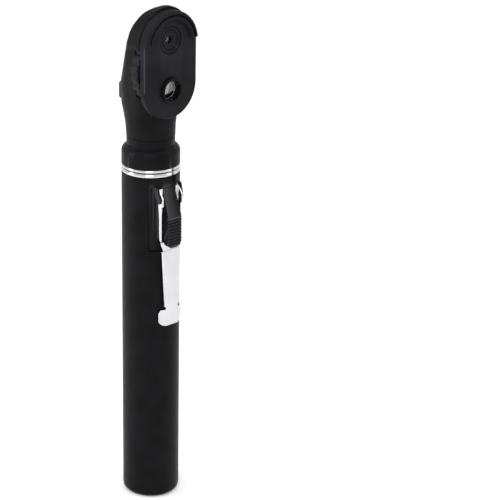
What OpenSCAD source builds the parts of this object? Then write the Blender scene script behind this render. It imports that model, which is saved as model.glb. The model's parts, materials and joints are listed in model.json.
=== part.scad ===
// Pocket ophthalmoscope: battery handle with clip and slide switch, and an
// examination head with a lens wheel. Millimetres. The origin is the centre of the
// handle's flat base, +Z runs up the handle and the examiner's side faces -Y.

/* [Handle] */
// Outside diameter of the handle tube
handle_d = 19; // [18.8:0.1:19.4]
// Height of the tube, up to the lower chrome ring
tube_h = 114.9; // [114.5:0.1:116]
// Radius of the rounded bottom edge
base_fillet = 2.4; // [1.5:0.1:3]
// Diameter of one AA cell
cell_d = 14.5; // [14:0.1:14.6]
// Length of one AA cell with its terminal
cell_h = 50.5; // [49.5:0.1:50.5]
// Thickness of the tube's floor
floor_t = 2; // [1.5:0.1:2.5]

/* [Clip and switch] */
// Bottom of the switch window
window_z = 90; // [89:0.5:91]
// Top of the switch window
window_top = 112; // [111.5:0.5:112.5]
// Half the angle that the switch window spans
window_half_a = 48; // [44:1:48]
// Half the outside width of the clip's channel
channel_hw = 4.4; // [4.3:0.1:4.6]
// Thickness of the clip's sheet
sheet_t = 0.55; // [0.5:0.05:0.6]
// Lowest point of the clip's foot
foot_z = 64; // [62:0.5:66]
// Travel of the switch slider
switch_travel = 3; // [2:0.5:3]

/* [Head] */
// Top of the collar
collar_top = 124; // [123.8:0.1:124.2]
// Radius of the neck
neck_r = 7.9; // [7.8:0.1:8]
// Half width of the face plate
plate_hw = 10.85; // [10.7:0.05:10.9]
// Lowest point of the face plate
plate_z = 134.2; // [134:0.1:134.4]
// Front surface of the face plate
plate_y = -9.5; // [-9.6:0.1:-9.4]
// Height of the sight hole
sight_z = 159.7; // [159.5:0.1:159.9]
// Radius of the sight hole
sight_r = 1.2; // [1:0.1:1.4]

/* [Lens wheel] */
// Height of the wheel's axle
wheel_z = 150; // [149.9:0.05:150.1]
// Radius of the knurled rim
wheel_r = 11.75; // [11.7:0.05:11.8]
// Number of lens stations
stations = 12; // [10:2:14]
// Number of grooves in the rim
knurls = 22; // [18:2:26]
// Height of the window that shows the lens number
scale_z = 143.7; // [143.6:0.05:143.8]

/* [Aperture wheel] */
// Radius of the aperture wheel
selector_r = 6.9; // [6.8:0.05:7]
// Number of grooves in its rim
selector_ribs = 30; // [24:1:32]

/* [Hidden] */
$fn = 64;
eps = 0.02;

// Handle
handle_r = handle_d / 2;
bore_r = cell_d / 2 + 0.35;
ring_gap = 0.25;
ring_low_h = 1.5;
ring_up_h = 1.0;
ring_r = handle_r + 0.12;
slit_a = 6;
slit_w = 0.95;
ring_up_z = tube_h + ring_low_h + ring_gap;
collar_z = ring_up_z + ring_up_h;
cell_z = 9.5;
cells_top = cell_z + 2 * cell_h;
nub_r = 2.75;
nub_h = 1.2;
spring_r = 5.2;
spring_wire = 0.5;
spring_turns = 5;
disc_z = cells_top + 0.5;
disc_t = 1.2;
contact_r = 1.5;
contact_top = 115.1;

// Bayonet between the handle and the head
socket_r = bore_r - 0.02;
socket_in = 6.7;
socket_top = 121;
lug_z = 118.2;
lug_h = 1.2;
lug_half_a = 10;
lug_gap = 0.15;
lug_gap_a = 1;
twist = 40;

// Clip and switch
carrier_r = handle_r - 0.45;
carrier_in = bore_r + 0.05;
track_hw = 2.7;
track_floor = 8.0;
groove_floor = 8.3;
channel_face = 10.1;
channel_tab = 10.7;
tab_low = 105.8;
channel_low = 93.4;
channel_rear_low = 94.6;
channel_shoulder = 108.6;
channel_top = 111.9;
bridge_low = 90.4;
bridge_high = 93.6;
flange_in = 2.8;
flange_face = 8.95;
slider_low = 91;
slider_top = tube_h - 0.9 - switch_travel;
pad_top = 102;
pad_hw = 2.8;
pad_in = 9.4;
ramp_hw = 2.6;
pad_face = 12;
ramp_face = 8.5;
arm_hw_top = 3.65;
arm_hw_low = 3.15;
arm_top = 90.3;
arm_face_top = 10.35;
arm_face_low = 10.1;
foot_h = 6;
flat_hw = 2.5;
wing_w = 2.7;
wing_lean = 26;
rivet_r = 0.35;
rivet_x = 3.31;

// Head
sleeve_top = 127;
wheel_front = -6.9;
wheel_back = -3.9;
web_front = -6.4;
web_back = -4.9;
pitch_r = sight_z - wheel_z;
web_r = wheel_r - 0.55;
// The white dial lies inside the ring of lens holes.
dial_out = pitch_r - 1.35;
dial_in = 3.6;
plate_t = 2.1;
plate_back = plate_y + plate_t;
plate_top = 169.1;
head_top = 170;
crown_z = plate_top - plate_hw;
screw_x = 5.55;
screw_z = 133;
screw_r = 0.58;
screw_head_r = 1.15;
screw_seat = 5.0;
detent_r = 6.6;
plate_low_c = plate_z + plate_hw;
selector_y = 5;
selector_low = 138.6;
selector_high = 142.9;
selector_web = 140.2;
selector_pitch = 5;
web_t = 1.2;
rim_t = 0.75;
selector_hub = 1.9;
apertures = 5;
bezel_r = 4.15;
bezel_in = 3.25;
bezel_out = 1.2;
rest_front = -10.8;
rest_low = 159.4;
rear_slope = 23.5;
rear_z = 157.6;
rear_y = 4.5;
port_r = 3.9;

wall = 1.2;
neck_floor = sleeve_top + wall;
optic_top = 137.1;
boss_r = 10.8;
boss_back = -2.25;

// Squareness of the crown's front half.
crown_square = 12;

// One station of the head's outer form: [z, half width, front, rear, front squareness,
// depth at which the half width is reached].
head_form = [
    [sleeve_top, neck_r, neck_r, neck_r, 2, 0],
    [131, 8.15, neck_r, 8.15, 2, 0],
    [134, 8.5, 7.7, 8.8, 2.2, 0],
    [137.5, 9.0, 7.4, 9.8, 2.8, 0],
    [141, 9.4, 7.4, 10.0, 3.4, 0],
    [144.5, 9.6, 7.4, 9.55, 3.8, 0],
    [148.4, 9.6, 7.4, 8.15, 4, 0],
    [151.3, 9.6, 7.4, 7.0, 4, 0],
    [154.1, 9.6, 7.4, 5.9, 4, 0],
    [156.6, 9.75, 7.4, 4.7, 5, -0.4],
    crown(158.8, 0.25, 3.3, -1.6),
    crown(160.6, 0, 2.1, -2.2),
    crown(162.5, 0, 0.9, -2),
    crown(164.4, 0, -0.2, -2.3),
    crown(166, 0, -1.1, -2.8),
    crown(167.4, 0, -2, -3.1),
    crown(168.5, 0, -2.9, -3.6),
    crown(169.3, 0, -3.8, -4.4),
    crown(169.75, 0, -4.6, -5.1),
    [head_top, 1.2, 7.4, -5.3, crown_square, -5.8]
];
form_n = 48;
form_least = 0.4;

// Around the plate's arc the head is a half ellipse, as wide as the plate and a little taller.
function crown(z, gap, rear, mid) =
    [z, plate_hw * sqrt(1 - pow((z - crown_z) / (head_top - crown_z), 2)) - gap,
        7.4, rear, crown_square, mid];

// A point on a section: the rear half is an ellipse, the front half a squarer curve.
function power(v, p) = sign(v) * pow(abs(v), p);
function form_point(s, a, inset) =
    let (w = max(s[1] - inset, form_least), r = s[3] - inset,
         mid = min(s[5], r - form_least), f = max(s[2] - inset + mid, form_least), p = 2 / s[4])
    sin(a) >= 0
        ? [w * cos(a), mid + (r - mid) * sin(a), s[0]]
        : [w * power(cos(a), p), mid + f * power(sin(a), p), s[0]];

// A closed loft through a list of sections.
module loft(sections, inset = 0) {
    m = form_n;
    k = len(sections);
    points = [for (s = sections) for (i = [0:m - 1]) form_point(s, i * 360 / m, inset)];
    sides = [
        for (j = [0:k - 2]) for (i = [0:m - 1])
            let (n = (i + 1) % m, a = j * m + i, b = j * m + n)
            each [[a + m, b + m, a], [b + m, b, a]]
    ];
    floor_face = [for (i = [0:m - 1]) i];
    roof_face = [for (i = [m - 1:-1:0]) (k - 1) * m + i];
    polyhedron(points, concat([floor_face, roof_face], sides), convexity = 6);
}

// A cylinder that lies along Y, from y0 to y1, at height z.
module along_y(y0, y1, z, r, x = 0) {
    translate([x, y1, z]) rotate([90, 0, 0]) cylinder(r = r, h = y1 - y0);
}

module tube(r_out, r_in, h) {
    difference() {
        cylinder(r = r_out, h = h);
        translate([0, 0, -1]) cylinder(r = r_in, h = h + 2);
    }
}

// A wedge about Z between two angles, from the axis out to radius r.
module wedge(a0, a1, r, h) {
    rotate([0, 0, a0]) rotate_extrude(angle = a1 - a0) square([r, h]);
}

// ---------------------------------------------------------------- handle

module handle_profile() {
    difference() {
        union() {
            square([handle_r - base_fillet, tube_h]);
            translate([0, base_fillet]) square([handle_r, tube_h - base_fillet]);
            translate([handle_r - base_fillet, base_fillet]) circle(r = base_fillet);
        }
        translate([0, floor_t]) square([bore_r, tube_h]);
        translate([-handle_r, -1]) square([handle_r, tube_h + 2]);
    }
}

module handle_tube() {
    color("#1d1d1f") difference() {
        rotate_extrude() handle_profile();
        translate([0, 0, window_z])
            wedge(-90 - window_half_a, -90 + window_half_a, handle_r + 2, window_top - window_z);
        translate([-track_hw - 0.05, -handle_r - 1, window_top - 1])
            cube([2 * track_hw + 0.1, handle_r + 1 - groove_floor, tube_h - window_top + 2]);
    }
}

// A half-round ring with a narrow slit that marks the bayonet's locked position.
module marked_ring(h) {
    difference() {
        rotate_extrude() {
            translate([bore_r + 0.1, 0]) square([ring_r - h / 2 - bore_r - 0.1, h]);
            translate([ring_r - h / 2, h / 2]) circle(r = h / 2);
        }
        rotate([0, 0, slit_a]) translate([-slit_w / 2, -handle_r - 2, -1]) cube([slit_w, 3, h + 2]);
    }
}

module ring_lower() {
    color("#e6e6e8") translate([0, 0, tube_h]) marked_ring(ring_low_h);
}

module bayonet_socket() {
    run_low = lug_z - lug_gap;
    run_high = lug_z + lug_h + lug_gap;
    clear_a = lug_half_a + lug_gap_a;
    color("#c9b26a") difference() {
        translate([0, 0, disc_z + disc_t]) tube(socket_r, socket_in, socket_top - disc_z - disc_t);
        for (a = [0, 120, 240]) rotate([0, 0, a]) {
            translate([0, 0, run_low]) wedge(-clear_a, twist + clear_a, 9, run_high - run_low);
            translate([0, 0, run_low]) wedge(twist - clear_a, twist + clear_a, 9, 5);
        }
    }
}

// The raised shoulders that guard the top of the clip's channel.
module shoulder_side() {
    polygon([[7.3, window_top - 0.1], [9.2, window_top - 0.1], [10.2, 107.8], [9.9, 106.6], [7.3, 109.6]]);
}

module switch_carrier() {
    h = window_top - window_z - 0.1;
    half = window_half_a - 0.3;
    color("#161617") difference() {
        union() {
            translate([0, 0, window_z + 0.05]) rotate([0, 0, -90 - half])
                rotate_extrude(angle = 2 * half)
                    translate([carrier_in, 0]) square([carrier_r - carrier_in, h]);
            for (s = [-1, 1]) translate([s > 0 ? channel_hw + 0.03 : -channel_hw - 0.73, 0, 0])
                rotate([90, 0, 90]) mirror([1, 0, 0]) linear_extrude(0.7) shoulder_side();
        }
        translate([-track_hw, -carrier_r - 1, window_z - 1])
            cube([2 * track_hw, carrier_r + 1 - track_floor, window_top - window_z + 2]);
        at_rivets() along_y(-12, 0, 0, rivet_r + 0.02);
    }
}

module switch_leaf() {
    color("#c9a24a") translate([-1, -track_floor - 0.16, 93]) cube([2, 0.15, 18]);
}

// The channel's side view, drawn as distance from the axis against height.
module channel_wall() {
    polygon([
        [track_floor, channel_rear_low], [channel_face, channel_low], [channel_face, tab_low - 0.5],
        [channel_tab, tab_low], [channel_tab, channel_shoulder],
        [track_floor + 0.1, channel_top], [track_floor, channel_top]
    ]);
}

// Repeats its children at the four rivets.
module at_rivets() {
    for (s = [-1, 1]) for (z = [96, 107]) translate([s * rivet_x, 0, z]) children();
}

module clip_bracket() {
    flange_w = channel_hw - flange_in;
    color("#e6e6e8") difference() {
        union() {
            for (s = [-1, 1]) {
                translate([s > 0 ? channel_hw - sheet_t : -channel_hw, 0, 0])
                    rotate([90, 0, 90]) mirror([1, 0, 0]) linear_extrude(sheet_t) channel_wall();
                translate([s > 0 ? flange_in : -channel_hw, -flange_face, channel_rear_low + 1])
                    cube([flange_w, 1.5, channel_top - channel_rear_low - 1]);
            }
            translate([0, sheet_t - arm_face_top, 0]) rotate([90, 0, 0]) linear_extrude(sheet_t) polygon([
                [-arm_hw_top, bridge_low], [arm_hw_top, bridge_low], [channel_hw, bridge_high - 1],
                [channel_hw, bridge_high], [-channel_hw, bridge_high], [-channel_hw, bridge_high - 1]
            ]);
        }
        translate([0, 0, 80]) cylinder(r = carrier_r + 0.02, h = 40);
        at_rivets() along_y(-12, 0, 0, rivet_r + 0.02);
    }
}

module clip_rivets() {
    color("#d0d0d2") at_rivets() {
        along_y(-flange_face, -6.9, 0, rivet_r);
        along_y(-flange_face - 0.2, -flange_face, 0, rivet_r + 0.15);
    }
}

// A coil of round wire, as one swept tube with closed ends.
module coil(r, wire, turns, h, steps = 20, sides = 8) {
    n = turns * steps;
    points = [
        for (i = [0:n]) for (j = [0:sides - 1])
            let (a = i * 360 / steps, b = j * 360 / sides, q = r + wire * cos(b))
            [q * cos(a), q * sin(a), i * h / n + wire * sin(b)]
    ];
    skin = [
        for (i = [0:n - 1]) for (j = [0:sides - 1])
            let (k = (j + 1) % sides, a = i * sides + j, b = i * sides + k)
            each [[a, b, a + sides], [b, b + sides, a + sides]]
    ];
    first = [for (j = [sides - 1:-1:0]) j];
    last = [for (j = [0:sides - 1]) n * sides + j];
    polyhedron(points, concat([first, last], skin), convexity = 8);
}

module battery_spring() {
    low = floor_t + spring_wire + eps;
    color("#b8b8ba") translate([0, 0, low])
        coil(spring_r, spring_wire, spring_turns, cell_z - low - spring_wire - eps);
}

module cell() {
    body_h = cell_h - nub_h;
    cylinder(r = cell_d / 2, h = body_h);
    translate([0, 0, body_h]) cylinder(r = nub_r, h = nub_h);
}

module battery_lower() {
    color("#3c6e8f") translate([0, 0, cell_z]) cell();
}

module battery_upper() {
    color("#3c6e8f") translate([0, 0, cell_z + cell_h]) cell();
}

module contact_disc() {
    color("#b0563a") translate([0, 0, disc_z]) tube(bore_r - 0.03, contact_r + 0.02, disc_t);
}

module centre_contact() {
    color("#c9a24a") {
        translate([0, 0, cells_top]) cylinder(r = 2.4, h = disc_z - cells_top);
        translate([0, 0, cells_top]) cylinder(r = contact_r, h = contact_top - cells_top);
    }
}

// ---------------------------------------------------------------- switch and clip arm

module slider_side() {
    polygon([
        [track_floor + 0.45, slider_low + 4.6], [track_floor + 0.9, slider_low + 3.4],
        [arm_face_top + 0.15, slider_low + 2.9], [arm_face_top + 0.15, slider_low + 0.6],
        [pad_face - 1, slider_low], [pad_face - 0.4, slider_low + 0.3],
        [pad_face, slider_low + 1.2], [pad_face, pad_top],
        [ramp_face, slider_top], [track_floor + 0.45, slider_top]
    ]);
}

module slider_slab(half_w) {
    translate([-half_w, 0, 0]) rotate([90, 0, 90]) mirror([1, 0, 0]) linear_extrude(2 * half_w) children();
}

// The slider's front view: its lower end is a half circle.
module slider_front() {
    translate([0, slider_low + pad_hw]) circle(r = pad_hw);
    translate([-pad_hw, slider_low + pad_hw]) square([2 * pad_hw, slider_top]);
}

module switch_slider() {
    ribs = 9;
    pitch = (pad_top - slider_low - 1.6) / ribs;
    color("#202022") difference() {
        intersection() {
            union() {
                intersection() {
                    slider_slab(pad_hw) slider_side();
                    translate([-pad_hw, -20, slider_low - 1])
                        cube([2 * pad_hw, 20 - pad_in, pad_top - slider_low + 1]);
                }
                slider_slab(ramp_hw) slider_side();
            }
            rotate([90, 0, 0]) linear_extrude(20) slider_front();
        }
        for (i = [0:ribs - 1])
            translate([-pad_hw - 1, -pad_face - 0.5, slider_low + 1.4 + i * pitch])
                cube([2 * pad_hw + 2, 0.85, pitch * 0.42]);
    }
}

module slider_contact() {
    color("#c9a24a") translate([-0.9, -track_floor - 0.44, 96]) cube([1.8, 0.2, 6]);
}

// Half of the strip's outline, down to the foot's flat.
module arm_half() {
    neck = foot_z + foot_h;
    polygon([
        [0, arm_top], [arm_hw_top, arm_top], [arm_hw_low, neck + 0.9], [flat_hw + 0.1, neck + 0.5],
        [flat_hw, neck], [0, neck]
    ]);
}

module arm_face() {
    arm_half();
    mirror([1, 0]) arm_half();
}

// A side flange, deeper at the top where it starts from the channel.
module arm_flange() {
    low = foot_z + foot_h + 1;
    polygon([
        [0, low], [0.6, low + 0.5], [1.15, arm_top - 1.2], [1.15, arm_top - 0.2], [0, arm_top - 0.2]
    ]);
}

module clip_arm() {
    lean = atan((arm_face_top - arm_face_low) / (arm_top - foot_z));
    taper = atan((arm_hw_top - arm_hw_low) / (arm_top - foot_z - foot_h));
    color("#e6e6e8") translate([0, -arm_face_top, arm_top]) rotate([-lean, 0, 0])
        translate([0, 0, -arm_top]) {
            translate([0, sheet_t, 0]) rotate([90, 0, 0]) linear_extrude(sheet_t) arm_face();
            for (s = [-1, 1]) translate([s * arm_hw_top, 0, arm_top]) rotate([0, s * taper, 0])
                translate([s > 0 ? -sheet_t : 0, 0, -arm_top])
                    rotate([90, 0, 90]) linear_extrude(sheet_t) arm_flange();
            clip_foot();
        }
}

// The foot is a flat with two wings that lean back to the tube, all rounded below.
module clip_foot() {
    translate([0, sheet_t, 0]) rotate([90, 0, 0]) linear_extrude(sheet_t)
        translate([-flat_hw, foot_z]) square([2 * flat_hw, foot_h]);
    for (s = [-1, 1])
        translate([s * flat_hw, 0, foot_z]) rotate([0, 0, s * wing_lean])
            translate([0, sheet_t, 0]) rotate([90, 0, 0]) linear_extrude(sheet_t) intersection() {
                translate([s > 0 ? -0.05 : -wing_w, 0]) square([wing_w + 0.05, foot_h - 0.2]);
                translate([s * -0.2, 3.1]) circle(r = 3.1);
            }
}

// ---------------------------------------------------------------- neck and lamp

module ring_upper() {
    color("#e6e6e8") translate([0, 0, ring_up_z]) marked_ring(ring_up_h);
}

module collar_profile() {
    low = collar_z;
    inner = bore_r + 0.06;
    shoulder = 2.3;
    difference() {
        union() {
            translate([inner, low]) square([handle_r - inner, collar_top - shoulder - low]);
            translate([inner, low]) square([neck_r + 0.15 - inner, collar_top - low]);
            intersection() {
                translate([handle_r - shoulder, collar_top - shoulder]) circle(r = shoulder);
                translate([inner, collar_top - shoulder]) square([handle_r - inner, shoulder]);
            }
        }
    }
}

module collar() {
    color("#1a1a1c") {
        rotate_extrude() collar_profile();
        for (a = [0, 120, 240]) rotate([0, 0, a - lug_half_a]) translate([0, 0, lug_z])
            rotate_extrude(angle = 2 * lug_half_a) translate([6.95, 0]) square([0.9, lug_h]);
    }
}

module neck_sleeve() {
    color("#161618") difference() {
        union() {
            translate([0, 0, socket_top + 0.3])
                cylinder(r = bore_r + 0.03, h = collar_top - socket_top - 0.3 + eps);
            translate([0, 0, collar_top]) cylinder(r = neck_r - 0.05, h = sleeve_top - collar_top - 0.12);
        }
        translate([0, 0, socket_top - 1]) cylinder(r = 5, h = 10);
    }
}

module lamp_holder() {
    color("#c4c4c6") difference() {
        union() {
            translate([0, 0, 117]) cylinder(r = 4.95, h = 10);
            translate([0, 0, socket_top - 0.7]) cylinder(r = 6, h = 1);
        }
        translate([0, 0, 116]) cylinder(r = 3.02, h = 12);
    }
}

module lamp_base() {
    color("#c9a24a") {
        translate([0, 0, contact_top + 0.15]) cylinder(r = 1.1, h = 0.9);
        translate([0, 0, contact_top + 1.0]) cylinder(r = 2.95, h = 5.4);
    }
}

module lamp_glass() {
    low = contact_top + 6.4;
    color("#dfe8ee") difference() {
        union() {
            translate([0, 0, low]) cylinder(r = 2.7, h = 3.6);
            translate([0, 0, low + 3.6]) sphere(r = 2.7);
        }
        translate([0, 0, low - eps]) cylinder(r = 2.2, h = 3.4);
        translate([0, 0, low + 3.3]) sphere(r = 2.2);
    }
}

module lamp_filament() {
    color("#8a8a8a") translate([0, 0, contact_top + 6.4]) {
        for (s = [-1, 1]) translate([s, 0, 0]) cylinder(r = 0.15, h = 3);
        translate([-1.1, 0, 2.9]) rotate([0, 90, 0]) cylinder(r = 0.2, h = 2.2);
    }
}

// ---------------------------------------------------------------- optics

module optic_tube() {
    color("#2a2a2c") difference() {
        translate([0, 0, neck_floor]) cylinder(r = 4.2, h = optic_top - neck_floor);
        translate([0, 0, neck_floor - 1]) cylinder(r = 3.6, h = 12);
    }
}

// A lens of two spherical faces and a plain edge, standing on its flat centre plane.
module lens(r, edge, sag) {
    ball = (r * r + sag * sag) / (2 * sag);
    intersection() {
        translate([0, 0, -edge / 2 - sag]) cylinder(r = r, h = edge + 2 * sag);
        translate([0, 0, edge / 2 + sag - ball]) sphere(r = ball);
        translate([0, 0, -edge / 2 - sag + ball]) sphere(r = ball);
    }
}

module condenser_lens() {
    color("#dfe8ee") translate([0, 0, 132]) lens(3.57, 0.9, 0.7);
}

module lens_retainer() {
    color("#3a3a3c") translate([0, 0, 133.6]) tube(3.57, 3, 0.8);
}

module objective_tube() {
    color("#2a2a2c") difference() {
        translate([0, 0, 143.4]) cylinder(r = 2.95, h = 7.4);
        translate([0, 0, 141]) cylinder(r = 2.45, h = 12);
    }
}

module objective_lens() {
    color("#dfe8ee") translate([0, 0, 148]) lens(2.42, 0.7, 0.4);
}

mirror_c = [0, 0, 155];

module head_mirror() {
    color("#cfd6da") translate(mirror_c) rotate([45, 0, 0]) translate([-2, -1.8, 0]) cube([4, 3.6, 0.7]);
}

module mirror_mount() {
    color("#2a2a2c") translate([-2.5, 0, 0]) rotate([90, 0, 90]) linear_extrude(5)
        polygon([[boss_back, 153.76], [0.8, 156.81], [0.8, 157.6], [boss_back, 157.6]]);
}

// Places its children on the rear slope, looking out along the slope's normal.
module on_rear(out) {
    translate([0, rear_y, rear_z]) rotate([-90 + rear_slope, 0, 0]) translate([0, 0, out]) children();
}

module patient_bezel() {
    color("#161618") on_rear(-1.3) difference() {
        union() {
            cylinder(r = port_r + 0.6, h = 1.3);
            translate([0, 0, 1.3 - 0.4]) cylinder(r = port_r + 1.3, h = 0.95);
        }
        translate([0, 0, -1]) cylinder(r = port_r - 0.5, h = 4);
        translate([0, 0, 0.6]) cylinder(r = port_r, h = 3);
    }
}

module patient_window() {
    color("#dfe8ee") on_rear(-0.68) cylinder(r = port_r - 0.03, h = 0.9);
}

// ---------------------------------------------------------------- housing

module head_shell() {
    difference() {
        loft(head_form);
        intersection() {
            loft(head_form, wall);
            translate([-20, -20, sleeve_top + wall]) cube([40, 40, head_top - sleeve_top - 2.4 * wall]);
        }
        translate([0, 0, sleeve_top - 1]) cylinder(r = 3.7, h = 4);
    }
}

module half_space(front) {
    translate([-20, front ? -20 : 0, 120]) cube([40, 20, 60]);
}

// The pocket that the wheel turns in, open at both sides.
module wheel_pocket() {
    difference() {
        along_y(plate_back - 1, -3.6, wheel_z, wheel_r + 0.4);
        along_y(web_back + 0.3, 0, wheel_z, boss_r);
    }
}

module front_housing() {
    color("#1c1c1e") difference() {
        union() {
            intersection() {
                head_shell();
                half_space(true);
            }
            intersection() {
                along_y(web_back + 0.3, boss_back, wheel_z, boss_r);
                loft(head_form, wall / 2);
            }
            intersection() {
                for (s = [-1, 1]) along_y(-8, 0, screw_z, screw_r + 0.5, s * screw_x);
                loft(head_form, wall / 2);
            }
        }
        wheel_pocket();
        along_y(-12, -2, wheel_z, 1.02);
        along_y(-12, -2, sight_z, sight_r + 0.3);
        translate([-15, -20, plate_z - 0.2]) cube([30, 20 + plate_back, 60]);
        along_y(web_back, boss_back - 0.6, wheel_z, 0.62, detent_r);
        translate([0, 0, 143]) cylinder(r = 2.97, h = 8.2);
        for (s = [-1, 1]) along_y(-4, 1, screw_z, screw_r + 0.02, s * screw_x);
    }
}

module rear_housing() {
    color("#1c1c1e") difference() {
        union() {
            intersection() {
                head_shell();
                half_space(false);
            }
            intersection() {
                union() {
                    for (s = [-1, 1]) along_y(0, 12, screw_z, screw_r + 0.5, s * screw_x);
                    translate([-3, 3.2, optic_top + 0.1]) cube([6, 12, selector_high + 1.4 - optic_top]);
                }
                loft(head_form, wall / 2);
            }
        }
        on_rear(-4) cylinder(r = port_r + 0.62, h = 12);
        on_rear(-0.42) cylinder(r = port_r + 1.35, h = 4);
        selector_slot();
        translate([0, selector_y, selector_low - 0.9])
            cylinder(r = 0.72, h = selector_high - selector_low + 1.8);
        for (s = [-1, 1]) {
            along_y(-1, 14, screw_z, screw_r + 0.02, s * screw_x);
            along_y(screw_seat, 14, screw_z, screw_head_r + 0.1, s * screw_x);
        }
    }
}

// The pocket that the aperture wheel turns in, open at the rear.
module selector_slot() {
    translate([0, selector_y, selector_low - 0.2])
        cylinder(r = selector_r + 0.3, h = selector_high - selector_low + 0.4);
}

module housing_screws() {
    color("#b8b8ba") for (s = [-1, 1]) difference() {
        union() {
            along_y(-3.8, screw_seat, screw_z, screw_r, s * screw_x);
            along_y(screw_seat, screw_seat + 0.7, screw_z, screw_head_r, s * screw_x);
        }
        translate([s * screw_x - 0.17, screw_seat + 0.35, screw_z - 2]) cube([0.34, 1, 4]);
    }
}

// ---------------------------------------------------------------- face

module stadium(r, inset = 0) {
    translate([0, plate_low_c]) circle(r = r - inset);
    translate([0, crown_z]) circle(r = r - inset);
    translate([-r + inset, plate_low_c]) square([2 * (r - inset), crown_z - plate_low_c]);
}

module face_plate() {
    color("#343438") difference() {
        translate([0, plate_back, 0]) rotate([90, 0, 0]) linear_extrude(plate_t) stadium(plate_hw);
        along_y(-12, 0, sight_z, 4.5);
        along_y(-12, 0, scale_z, bezel_in + 0.42);
        along_y(plate_back - 1.0, 0, wheel_z, 1.02);
    }
}

// Brow rest: a hood along the plate's arc, with a rounded rim, a groove and an inner ridge.
module rest_profile() {
    rim = 1.1;
    groove_in = 9.15;
    groove_out = 9.6;
    height = plate_y - rest_front;
    translate([7.7, 0]) square([plate_hw - 7.7, 0.3]);
    polygon([[7.7, 0], [groove_in, 0], [groove_in, 1.2], [8.4, 1.25], [8.05, 1.1]]);
    translate([groove_out, 0]) square([plate_hw - rim - groove_out, height]);
    translate([groove_out, 0]) square([plate_hw - groove_out, height - rim]);
    intersection() {
        translate([plate_hw - rim, height - rim]) circle(r = rim);
        translate([groove_out, 0]) square([5, 5]);
    }
}

module brow_rest() {
    color("#26262a") intersection() {
        translate([0, plate_y, crown_z]) rotate([90, 0, 0]) rotate_extrude() rest_profile();
        translate([-20, -20, rest_low]) cube([40, 20, 20]);
    }
}

module sight_insert() {
    color("#2c2c30") difference() {
        along_y(plate_y + 0.15, plate_back, sight_z, 4.48);
        along_y(-12, 0, sight_z, sight_r);
        difference() {
            along_y(-12, plate_y + 0.4, sight_z, 3.25);
            along_y(-12, plate_y + 0.4, sight_z, 2.95);
        }
        along_y(plate_back - 0.6, 0, sight_z, sight_r + 0.9);
    }
}

module eye_window() {
    color("#dfe8ee") along_y(plate_back - 0.58, plate_back - 0.05, sight_z, sight_r + 0.87);
}

module window_bezel() {
    color("#2a2a2d") difference() {
        union() {
            along_y(plate_y - bezel_out, plate_y, scale_z, bezel_r);
            along_y(plate_y, plate_back, scale_z, bezel_in + 0.4);
        }
        along_y(-14, 0, scale_z, bezel_in);
    }
}

module window_lens() {
    color("#dfe8ee") along_y(plate_back - 0.7, plate_back - 0.05, scale_z, bezel_in - 0.03);
}

module wheel_axle() {
    color("#b8b8ba") along_y(plate_back - 0.95, boss_back - 0.85, wheel_z, 1);
}

module detent_ball() {
    color("#c4c4c6") translate([detent_r, web_back + 0.55, wheel_z]) sphere(r = 0.5);
}

module detent_spring() {
    color("#b8b8ba") translate([detent_r, web_back + 1.16, wheel_z]) rotate([-90, 0, 0])
        coil(0.4, 0.09, 4, 0.78, 10, 6);
}

// ---------------------------------------------------------------- lens wheel

module around_wheel(n, phase, r) {
    for (i = [0:n - 1]) translate([0, 0, wheel_z]) rotate([0, phase + i * 360 / n, 0])
        translate([0, 0, r - wheel_z]) children();
}

module lens_disc() {
    color("#1b1b1d") difference() {
        union() {
            along_y(web_front, web_back, wheel_z, web_r);
            difference() {
                along_y(wheel_front, wheel_back, wheel_z, wheel_r);
                along_y(wheel_front - 1, 0, wheel_z, web_r - 0.1);
            }
        }
        along_y(-12, 0, wheel_z, 1.05);
        around_wheel(stations, 0, pitch_r) along_y(-12, 0, wheel_z, 1.25);
        around_wheel(knurls, 5, wheel_r + 0.45) along_y(-12, 0, wheel_z, 0.95);
    }
}

module disc_lenses() {
    color("#dfe8ee") around_wheel(stations, 0, pitch_r)
        along_y(web_front + 0.25, web_back - 0.25, wheel_z, 1.22);
}

module dioptre_scale() {
    color("#f2f2ee") difference() {
        along_y(web_front - 0.2, web_front, wheel_z, dial_out);
        along_y(-12, 0, wheel_z, dial_in);
    }
}

// ---------------------------------------------------------------- aperture wheel

module selector_profile() {
    pocket = selector_r - selector_hub - rim_t;
    difference() {
        polygon([
            [0, selector_low], [selector_r - 0.5, selector_low], [selector_r - 0.1, selector_low + 0.7],
            [selector_r, selector_high - 0.6], [selector_r - 0.3, selector_high], [0, selector_high]
        ]);
        translate([selector_hub, selector_web + web_t]) square([pocket, 6]);
        translate([selector_hub, selector_low - 1]) square([pocket, selector_web - selector_low + 1]);
        translate([-9, selector_low - 1]) square([9, 8]);
    }
}

// The wheel's stations, counted round from the one in the beam.
module at_aperture(i) {
    rotate([0, 0, -90 + i * 360 / apertures]) translate([selector_pitch, 0, 0]) children();
}

module aperture_wheel() {
    color("#1b1b1d") translate([0, selector_y, 0]) difference() {
        rotate_extrude() selector_profile();
        translate([0, 0, 130]) cylinder(r = 0.75, h = 20);
        for (i = [0:selector_ribs - 1]) rotate([0, 0, i * 360 / selector_ribs])
            translate([selector_r + 0.2, 0, 130]) cylinder(r = 0.42, h = 20);
        at_aperture(0) translate([0, 0, 130]) cylinder(r = 1.3, h = 20);
        at_aperture(1) translate([0, 0, 130]) cylinder(r = 0.5, h = 20);
        at_aperture(2) translate([0, 0, 130]) difference() {
            cylinder(r = 1.3, h = 20);
            translate([0, -2, -1]) cube([4, 4, 30]);
        }
        at_aperture(3) translate([-0.25, -1.3, 130]) cube([0.5, 2.6, 20]);
        at_aperture(4) translate([0, 0, 130]) cylinder(r = 1.3, h = 20);
    }
}

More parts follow.
